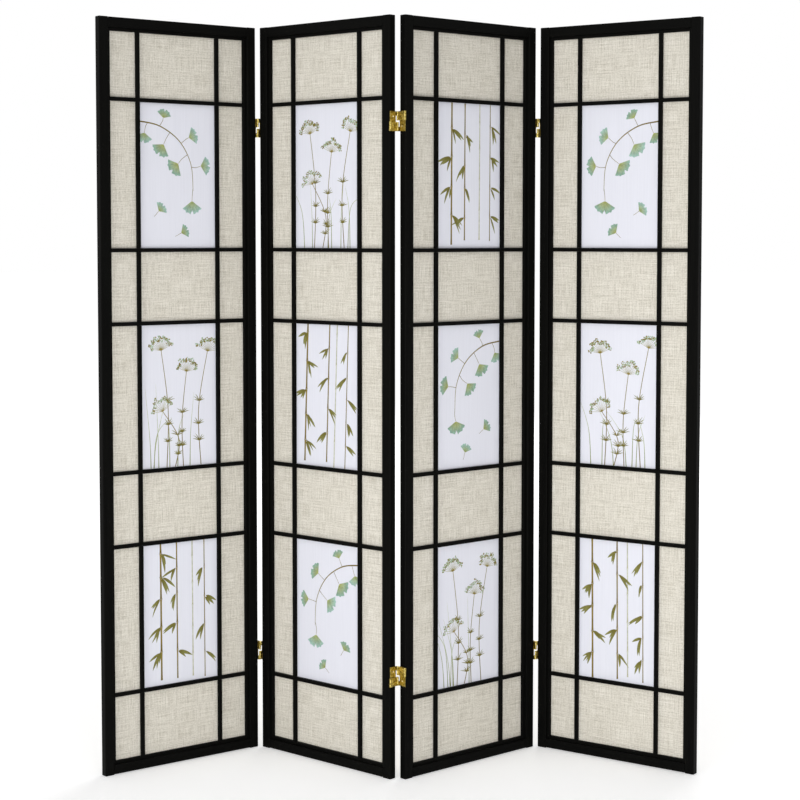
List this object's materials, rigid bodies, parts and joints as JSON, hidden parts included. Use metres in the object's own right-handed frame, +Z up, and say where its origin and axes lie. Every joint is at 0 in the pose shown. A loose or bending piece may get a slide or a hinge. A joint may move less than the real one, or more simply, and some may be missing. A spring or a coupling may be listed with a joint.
{
  "type": "folding screen",
  "caption": "Free-standing shoji folding screen: papered lattice panels in black frames, joined by double-action brass hinges that fold either way, standing in a zigzag.",
  "frame": {"origin": "on the floor, under the middle of the box round the standing zigzag screen", "axes": "+Z up along the panels' height, +X to the viewer's right along the row of panels, +Y away from the viewer, through the screen's depth"},
  "size_m": [1.4122, 0.3204, 1.785],
  "materials": {
    "black_lacquer": "satin black lacquer on eased softwood",
    "linen_paper": "thin woven linen-look cloth, matte and translucent",
    "print_paper": "smooth white printed sheet, matte",
    "hinge_brass": "stamped, bright plated"
  },
  "bodies": {
    "panel_1": {"panel_1_left_stile": "black_lacquer", "panel_1_right_stile": "black_lacquer", "panel_1_top_rail": "black_lacquer", "panel_1_bottom_rail": "black_lacquer", "panel_1_lattice_border": "black_lacquer", "panel_1_lattice_uprights": "black_lacquer", "panel_1_lattice_crossbars": "black_lacquer", "panel_1_back_beads": "black_lacquer", "panel_1_linen_sheet": "linen_paper", "panel_1_print_sheets": "print_paper", "panel_1_hinge_leaves": "hinge_brass", "panel_1_hinge_links": "hinge_brass", "panel_1_hinge_pins": "hinge_brass"},
    "panel_2": {"panel_2_left_stile": "black_lacquer", "panel_2_right_stile": "black_lacquer", "panel_2_top_rail": "black_lacquer", "panel_2_bottom_rail": "black_lacquer", "panel_2_lattice_border": "black_lacquer", "panel_2_lattice_uprights": "black_lacquer", "panel_2_lattice_crossbars": "black_lacquer", "panel_2_back_beads": "black_lacquer", "panel_2_linen_sheet": "linen_paper", "panel_2_print_sheets": "print_paper", "panel_2_hinge_leaves": "hinge_brass", "panel_2_hinge_links": "hinge_brass", "panel_2_hinge_pins": "hinge_brass"},
    "panel_3": {"panel_3_left_stile": "black_lacquer", "panel_3_right_stile": "black_lacquer", "panel_3_top_rail": "black_lacquer", "panel_3_bottom_rail": "black_lacquer", "panel_3_lattice_border": "black_lacquer", "panel_3_lattice_uprights": "black_lacquer", "panel_3_lattice_crossbars": "black_lacquer", "panel_3_back_beads": "black_lacquer", "panel_3_linen_sheet": "linen_paper", "panel_3_print_sheets": "print_paper", "panel_3_hinge_leaves": "hinge_brass", "panel_3_hinge_links": "hinge_brass", "panel_3_hinge_pins": "hinge_brass"},
    "panel_4": {"panel_4_left_stile": "black_lacquer", "panel_4_right_stile": "black_lacquer", "panel_4_top_rail": "black_lacquer", "panel_4_bottom_rail": "black_lacquer", "panel_4_lattice_border": "black_lacquer", "panel_4_lattice_uprights": "black_lacquer", "panel_4_lattice_crossbars": "black_lacquer", "panel_4_back_beads": "black_lacquer", "panel_4_linen_sheet": "linen_paper", "panel_4_print_sheets": "print_paper", "panel_4_hinge_leaves": "hinge_brass", "panel_4_hinge_links": "hinge_brass", "panel_4_hinge_pins": "hinge_brass"}
  },
  "joints": [
    {"name": "fold_1_2", "type": "hinge", "parent": "panel_2", "child": "panel_1", "pos_m": [-0.34947, 0.13708, 0.8925], "axis": [0, 0, 1], "range_deg": [-80, 98]},
    {"name": "fold_2_3", "type": "hinge", "parent": "panel_2", "child": "panel_3", "pos_m": [-0.00533, -0.13887, 0.8925], "axis": [0, 0, 1], "range_deg": [-84, 94]},
    {"name": "fold_3_4", "type": "hinge", "parent": "panel_3", "child": "panel_4", "pos_m": [0.33881, 0.13708, 0.8925], "axis": [0, 0, 1], "range_deg": [-100.5, 77.5]}
  ]
}
